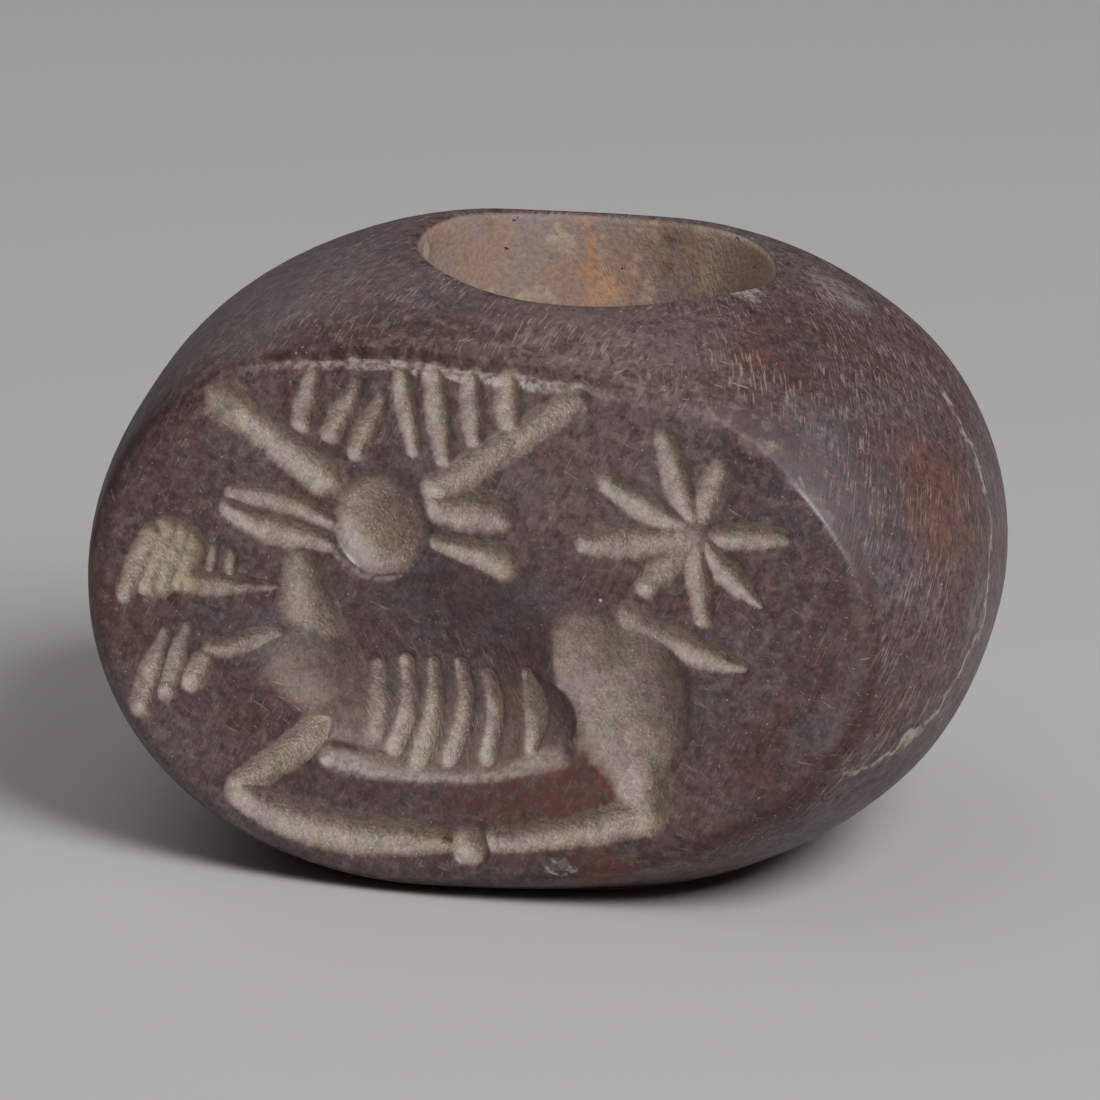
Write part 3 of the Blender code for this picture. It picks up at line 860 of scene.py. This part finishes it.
def stain(tree, place, centre, reach_mm, strength):
    """A round patch about a place, strong in its middle and gone at its reach."""
    away = add_node(tree, "VectorMath", (place, centre), operation="DISTANCE")
    levels = (away, STAIN_CORE * reach_mm, reach_mm, strength, 0.0)
    return add_node(tree, "MapRange", levels, **SMOOTH)


def stored(tree, name, low, high):
    """A value kept with the mesh's points, taken from 0 at one level to 1 at another."""
    value = add_node(tree, "Attribute", output="Fac", attribute_name=name)
    return add_node(tree, "MapRange", (value, low, high), **SMOOTH)


def place_on_stone(tree):
    """The place in millimetres from the bead's centre, and the same place a little strayed."""
    here = add_node(tree, "TexCoord", output="Object")
    moves = (here, bead_centre(), (0, 0, 0), (MM, MM, MM))
    place = add_node(tree, "Mapping", moves, vector_type="TEXTURE")
    noise = add_node(tree, "TexNoise", (place, *STRAY_NOISE), output="Color")
    wide, half = [STRAY_MM] * 3, [STRAY_MM / 2] * 3
    stray = add_node(tree, "VectorMath", (noise, wide, place), operation="MULTIPLY_ADD")
    return place, add_node(tree, "VectorMath", (stray, half), operation="SUBTRACT")


def polishing_marks(tree, place, on_face):
    """Fine striations that the last grit left, and the rarer paler scratches.

    On the dome they run one way at the left and another at the right, and the face has its own way.
    The turns are in degrees. The widths, 0.045 to 0.07 mm, are a few times the real marks' so that
    they show.
    """
    x = add_node(tree, "SeparateXYZ", (place,))
    at_right = add_node(tree, "MapRange", (x, *RIGHT_SIDE_MM))
    dome_fine = add_node(tree, "Mix", (
        at_right,
        lines(tree, place, (0, 66, -27), 0.5, 0.07, 0.38, 0.72, seed=2),
        lines(tree, place, (0, 62, 216), 0.5, 0.06, 0.38, 0.70, seed=7),
    ))
    face_fine = lines(tree, place, (0, 118, 0), 0.5, 0.05, 0.40, 0.66, seed=1)
    fine = add_node(tree, "Mix", (on_face, dome_fine, face_fine))
    groups = clouds(tree, place, 1.4, 0.36, 0.56, seed=16)
    dome_marks = add_node(tree, "Mix", (
        at_right,
        lines(tree, place, (0, 70, -22), 0.42, 0.05, 0.58, 0.68, seed=5),
        lines(tree, place, (0, 62, 220), 0.5, 0.045, 0.56, 0.66, seed=8),
    ))
    face_marks = lines(tree, place, (0, 112, 0), 0.5, 0.045, 0.66, 0.75, seed=3)
    marks = add_node(tree, "Mix", (on_face, dome_marks, face_marks))
    marks = add_node(tree, "Math", (marks, groups), **TIMES)
    across = lines(tree, place, (50, 30, 0), 0.6, 0.045, 0.70, 0.76, seed=6)
    return fine, add_node(tree, "Math", (marks, across), operation="MAXIMUM")


def vein(tree, place):
    """A thin pale sheet of another mineral that crosses the right side of the stone."""
    across = add_node(tree, "VectorMath", (place, VEIN_NORMAL), operation="DOT_PRODUCT")
    off = add_node(tree, "Math", (across, VEIN_OFFSET_MM), operation="SUBTRACT")
    away = add_node(tree, "Math", (off,), operation="ABSOLUTE")
    line = add_node(tree, "MapRange", (away, *VEIN_HALF_WIDTHS_MM, VEIN_STRENGTH, 0.0), **SMOOTH)
    x = add_node(tree, "SeparateXYZ", (place,))
    here = add_node(tree, "MapRange", (x, *VEIN_START_MM), **SMOOTH)
    broken = clouds(tree, place, 0.35, 0.34, 0.62, seed=31)
    line = add_node(tree, "Math", (line, here), **TIMES)
    return add_node(tree, "Math", (line, broken), **TIMES)


def polished_colour(tree, place, strayed, fine, marks, on_face, colours):
    """Maroon clouded with red and slate, mottled, brushed and scratched, with painted shade: darker on
    the dome than on the face, and darker and redder along the band behind the edge.
    """
    # Painted shade along the band behind the face's edge.
    rim = add_node(tree, "Math", (stored(tree, "rim_shade", 0.0, 0.9), RIM_STRENGTH), **TIMES)
    # A painted highlight along the facet, broken into glints.
    glints = clouds(tree, place, 0.16, 0.36, 0.64, seed=15, detail=6.0)
    painted_highlight = add_node(tree, "Math", (stored(tree, "facet_highlight", 0.2, 0.9), glints), **TIMES)
    colour = layered(tree, (*colours.body, 1.0), (
        (clouds(tree, place, 2.6, 0.44, 0.72, seed=3, top=0.6), colours.red),
        (clouds(tree, place, 1.9, 0.40, 0.68, seed=8, top=0.7), colours.slate),
        (clouds(tree, place, 0.45, 0.50, 0.72, seed=9, top=0.45, detail=5.0), colours.red),
        (rim, colours.edge),
        (painted_highlight, linear(FACET_HIGHLIGHT_TINT)),
    ))
    mottle = clouds(tree, place, 0.25, 0.30, 0.70, seed=12, detail=6.0)
    speckle = clouds(tree, place, 0.09, 0.40, 0.72, seed=13, detail=2.0)
    patchy = clouds(tree, place, 2.6, 0.35, 0.65, seed=14, top=0.65)
    brushed = add_node(tree, "Math", (fine, patchy), **TIMES)
    # The face's share lifts the face above the dome: painted shade on the dome, which the key light strikes
    # more.
    shades = ((mottle, 0.66), (speckle, 0.50), (brushed, 0.54), (on_face, 0.18), (1.0, 0.34))
    value = added(tree, *shades)
    colour = add_node(tree, "HueSaturation", {"Color": colour, "Value": value})
    flecks = clouds(tree, place, 0.08, 0.71, 0.78, seed=21, top=0.5, detail=1.0)
    scratch = add_node(tree, "Math", (marks, SCRATCH_STRENGTH), **TIMES)
    return layered(tree, colour, (
        (scratch, colours.cut),
        (vein(tree, strayed), colours.vein),
        (flecks, colours.vein),
    ))


def stains(tree, place, rows):
    """Layers for patches whose broken outlines let the colour below through."""
    broken = clouds(tree, place, 0.24, 0.36, 0.62, seed=63, detail=6.0)
    for tint, centre, reach_mm, strength in rows:
        patch = stain(tree, place, centre, reach_mm, strength)
        yield add_node(tree, "Math", (patch, broken), **TIMES), linear(tint)


def cut_colour(tree, place, fine, colours):
    """Chalky matt stone, pinkish here and greenish there, with a sugary grain and bright grains."""
    grain = clouds(tree, place, 0.08, 0.30, 0.70, seed=41, detail=2.0)
    coarse = clouds(tree, place, 0.22, 0.34, 0.68, seed=42)
    value = added(tree, (grain, 0.34), (coarse, 0.34), (fine, 0.14), (1.0, 0.60))
    colour = layered(tree, (*colours.cut, 1.0), cloud_layers(tree, place, CUT_CLOUDS))
    colour = add_node(tree, "HueSaturation", {"Color": colour, "Value": value})
    layers = (*stains(tree, place, CUT_STAINS), *cloud_layers(tree, place, CUT_GRAINS))
    return layered(tree, colour, layers), grain


def bore_colour(tree, place, strayed, colours):
    """Buff drilled stone with pinkish and grey blotches, an orange streak, small dark pits, and
    painted light on its right side.
    """
    pits = clouds(tree, place, 0.45, 0.68, 0.76, seed=58, top=0.7)
    x, y, _ = add_node(tree, "SeparateXYZ", (strayed,)).node.outputs
    away = add_node(tree, "Math", (x,), operation="ABSOLUTE")
    streak = add_node(tree, "MapRange", (away, *STREAK_HALF_WIDTHS_MM, STREAK_STRENGTH, 0.0), **SMOOTH)
    behind = add_node(tree, "Math", (y, BEHIND_BORE_MM), operation="GREATER_THAN")
    grain = clouds(tree, place, 0.12, 0.30, 0.72, seed=52)
    layers = cloud_layers(tree, place, BORE_CLOUDS)
    streak = add_node(tree, "Math", (streak, behind), **TIMES)
    # Painted light on the bore's right wall, which the key light leaves in shade.
    pale = add_node(tree, "MapRange", (x, *PAINTED_LIGHT_WALL_MM), **SMOOTH)
    layers += [(streak, linear(STREAK_TINT)), (pale, linear(PAINTED_LIGHT_WALL_TINT))]
    colour = layered(tree, (*colours.bore, 1.0), layers)
    value = added(tree, (grain, 0.3), (1.0, 0.85))
    colour = add_node(tree, "HueSaturation", {"Color": colour, "Value": value})
    layers = (*stains(tree, place, BORE_STAINS), (pits, linear(PIT_TINT)))
    return layered(tree, colour, layers), grain, pits


def seal_material(colours):
    """Jasper-like stone: fine-grained, hard and cloudy, polished outside and left matt where cut.

    The polish gives the eye a soft broad sheen crossed by fine pale scratches. The cuts and the
    bore scatter light, so they look paler and chalky.
    """
    material = bpy.data.materials.new("polished_dark_red_jasper")
    material.use_nodes = True
    tree = material.node_tree
    tree.nodes.clear()
    place, strayed = place_on_stone(tree)
    y = add_node(tree, "SeparateXYZ", (place,)).node.outputs["Y"]
    on_face = add_node(tree, "MapRange", (y, *FACE_BLEND_MM))
    fine, marks = polishing_marks(tree, place, on_face)

    ragged = clouds(tree, place, 0.3, 0.3, 0.7, seed=62, top=0.09, detail=6.0)
    deep = add_node(tree, "Attribute", output="Fac", attribute_name="cut_depth")
    deep = add_node(tree, "Math", (deep, ragged), operation="SUBTRACT")
    in_cut = add_node(tree, "MapRange", (deep, *SHOWN_DEPTHS_MM))
    in_cut = add_node(tree, "Math", (in_cut, stored(tree, "cut_finish", 0.0, 1.0)), **TIMES)
    in_bore = stored(tree, "bore_wall", 0.7, 1.0)
    matt = add_node(tree, "Math", (in_cut, in_bore), operation="MAXIMUM")

    cut, sugar = cut_colour(tree, place, fine, colours)
    drilled, rough, pits = bore_colour(tree, place, strayed, colours)
    layers = [*stains(tree, strayed, STAINS), (in_cut, cut)]
    for centre in WHITE_SPECKS:
        layers.append((stain(tree, place, centre, SPECK_MM, 1.0), linear(WHITE_TINT)))
    layers.append((in_bore, drilled))
    # Painted sheen, sparkling, on lips that face the light.
    sparkle = clouds(tree, place, 0.16, 0.28, 0.72, seed=17, detail=6.0)
    sheen = add_node(tree, "Math", (stored(tree, "lip_sheen", 0.0, 2.1), sparkle), **TIMES)
    layers.append((sheen, linear(LIP_SHEEN_TINT)))
    polished = polished_colour(tree, place, strayed, fine, marks, on_face, colours)
    colour = layered(tree, polished, layers)

    haze = clouds(tree, place, 0.8, 0.30, 0.75, seed=61)
    worn = stored(tree, "worn_edge", 0.2, 1.0)
    dull = stored(tree, "dull_edge", 0.1, 0.8)
    roughness = ((haze, 0.12), (marks, 0.15), (fine, 0.08), (worn, -0.2), (dull, 0.4), (1.0, POLISH))
    roughness = add_node(tree, "Mix", (matt, added(tree, *roughness), CUT_ROUGHNESS))

    pairs = ((sugar, in_cut), (rough, in_bore), (pits, in_bore))
    sugar, rough, pits = [add_node(tree, "Math", pair, **TIMES) for pair in pairs]
    height = added(
        tree,
        (marks, -SCRATCH_DEPTH_MM),
        (fine, -STRIATION_DEPTH_MM),
        (sugar, GRAIN_HEIGHT_MM),
        (rough, 0.5 * GRAIN_HEIGHT_MM),
        (pits, -PIT_DEPTH_MM),
    )
    normal = add_node(tree, "Bump", {"Strength": 1.0, "Distance": MM, "Height": height})
    inputs = {"Base Color": colour, "Roughness": roughness, "IOR": JASPER_IOR, "Normal": normal}
    shader = add_node(tree, "BsdfPrincipled", inputs)
    add_node(tree, "OutputMaterial", {"Surface": shader})
    return material


def floor_object(colour):
    """A wide plain floor, with a matt paper finish."""
    bm = bmesh.new()
    bmesh.ops.create_grid(bm, x_segments=8, y_segments=8, size=FLOOR_HALF_SIDE)
    floor = finished_object(bm, "studio_floor")
    material = bpy.data.materials.new("pale_matt_paper")
    material.use_nodes = True
    shader = material.node_tree.nodes["Principled BSDF"]
    shader.inputs["Base Color"].default_value = (*colour, 1.0)
    shader.inputs["Roughness"].default_value = FLOOR_ROUGHNESS
    floor.data.materials.append(material)
    return floor


def bead_centre():
    """The bead's centre in the model's frame, from the solid's box: its face is at -Y."""
    low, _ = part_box(NODE)
    return Vector((BEAD_CENTRE_X, low.y + FACE_SETBACK, low.z + REST_DEPTH))


CAMERA_AZIMUTH = math.radians(18.43)
CAMERA_ELEVATION = math.radians(17.03)
CAMERA_DISTANCE = 0.194
CAMERA_LENS_MM = 285.8
SENSOR_WIDTH_MM = 36.0
IMAGE_SIDE = 1100
CENTRE_PIXEL = (536.8, 553.1)
# Each softbox: its name, azimuth and elevation in degrees, distance and side in metres, and watts.
LIGHTS = (
    ("key_softbox", 54, 42, 0.24, 0.10, 0.71),
    ("top_softbox", -25, 76, 0.24, 0.16, 0.09),
    ("back_left_softbox", -125, 40, 0.24, 0.16, 0.09),
)
AIR_LIGHT = 0.09


def direction(azimuth, elevation):
    """Unit direction from the seal to a place at an azimuth from the face's front and a height."""
    level = math.cos(elevation)
    return Vector((math.sin(azimuth) * level, -math.cos(azimuth) * level, math.sin(elevation)))


def aimed(item, place, target):
    """Places a light or the camera and turns it to its target."""
    item.location = place
    item.rotation_euler = (target - place).to_track_quat("-Z", "Y").to_euler()
    bpy.context.scene.collection.objects.link(item)


def add_camera():
    camera = bpy.data.objects.new("camera", bpy.data.cameras.new("camera"))
    target = bead_centre()
    aimed(camera, target + direction(CAMERA_AZIMUTH, CAMERA_ELEVATION) * CAMERA_DISTANCE, target)
    camera.data.lens = CAMERA_LENS_MM
    camera.data.sensor_width = SENSOR_WIDTH_MM
    camera.data.shift_x = 0.5 - CENTRE_PIXEL[0] / IMAGE_SIDE
    camera.data.shift_y = CENTRE_PIXEL[1] / IMAGE_SIDE - 0.5
    camera.data.clip_start = 0.01
    camera.data.clip_end = 10.0
    bpy.context.scene.camera = camera


def add_light(name, azimuth, elevation, distance, size, power):
    """A soft square light aimed at the seal; angles in degrees, sizes in metres, power in watts."""
    lamp = bpy.data.lights.new(name, "AREA")
    lamp.shape = "SQUARE"
    lamp.size = size
    lamp.energy = power
    light = bpy.data.objects.new(name, lamp)
    target = bead_centre()
    aimed(light, target + direction(math.radians(azimuth), math.radians(elevation)) * distance, target)


def add_studio_air(strength):
    world = bpy.data.worlds.new("studio")
    world.use_nodes = True
    background = world.node_tree.nodes["Background"]
    background.inputs["Color"].default_value = (1.0, 1.0, 1.0, 1.0)
    background.inputs["Strength"].default_value = strength
    bpy.context.scene.world = world


class SEAL_OT_carve_stone(bpy.types.Operator):
    """Builds the carved stone and gives it its polished and cut finishes"""

    bl_idname = "seal.carve_stone"
    bl_label = "Carve stone"

    def execute(self, context):
        stone = stone_object(context.scene.seal_shape)
        stone.data.materials.append(seal_material(context.scene.seal_colours))
        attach(stone, "root")
        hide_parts(NODE)
        return {"FINISHED"}


class SEAL_OT_set_stage(bpy.types.Operator):
    """Lays the floor and sets the lights and the camera"""

    bl_idname = "seal.set_stage"
    bl_label = "Set stage"

    def execute(self, context):
        floor_object(context.scene.seal_colours.floor)
        add_studio_air(AIR_LIGHT)
        for light in LIGHTS:
            add_light(*light)
        add_camera()
        return {"FINISHED"}


class SEAL_PT_sidebar(bpy.types.Panel):
    """Lists the seal's settings and steps"""

    bl_idname = "SEAL_PT_sidebar"
    bl_label = "Stamp seal"
    bl_space_type = "VIEW_3D"
    bl_region_type = "UI"
    bl_category = "Seal"

    def draw(self, context):
        scene = context.scene
        for group in (scene.seal_shape, scene.seal_colours):
            for name in group.bl_rna.properties.keys():
                if name not in {"rna_type", "name"}:
                    self.layout.prop(group, name)
        self.layout.operator(SEAL_OT_carve_stone.bl_idname)
        self.layout.operator(SEAL_OT_set_stage.bl_idname)


CLASSES = (SealShape, SealColours, SEAL_OT_carve_stone, SEAL_OT_set_stage, SEAL_PT_sidebar)


def register():
    for item in CLASSES:
        bpy.utils.register_class(item)
    bpy.types.Scene.seal_shape = bpy.props.PointerProperty(type=SealShape)
    bpy.types.Scene.seal_colours = bpy.props.PointerProperty(type=SealColours)


def unregister():
    del bpy.types.Scene.seal_shape
    del bpy.types.Scene.seal_colours
    for item in reversed(CLASSES):
        bpy.utils.unregister_class(item)


def main():
    register()
    bpy.ops.seal.carve_stone()
    bpy.ops.seal.set_stage()


if __name__ == "__main__":
    main()
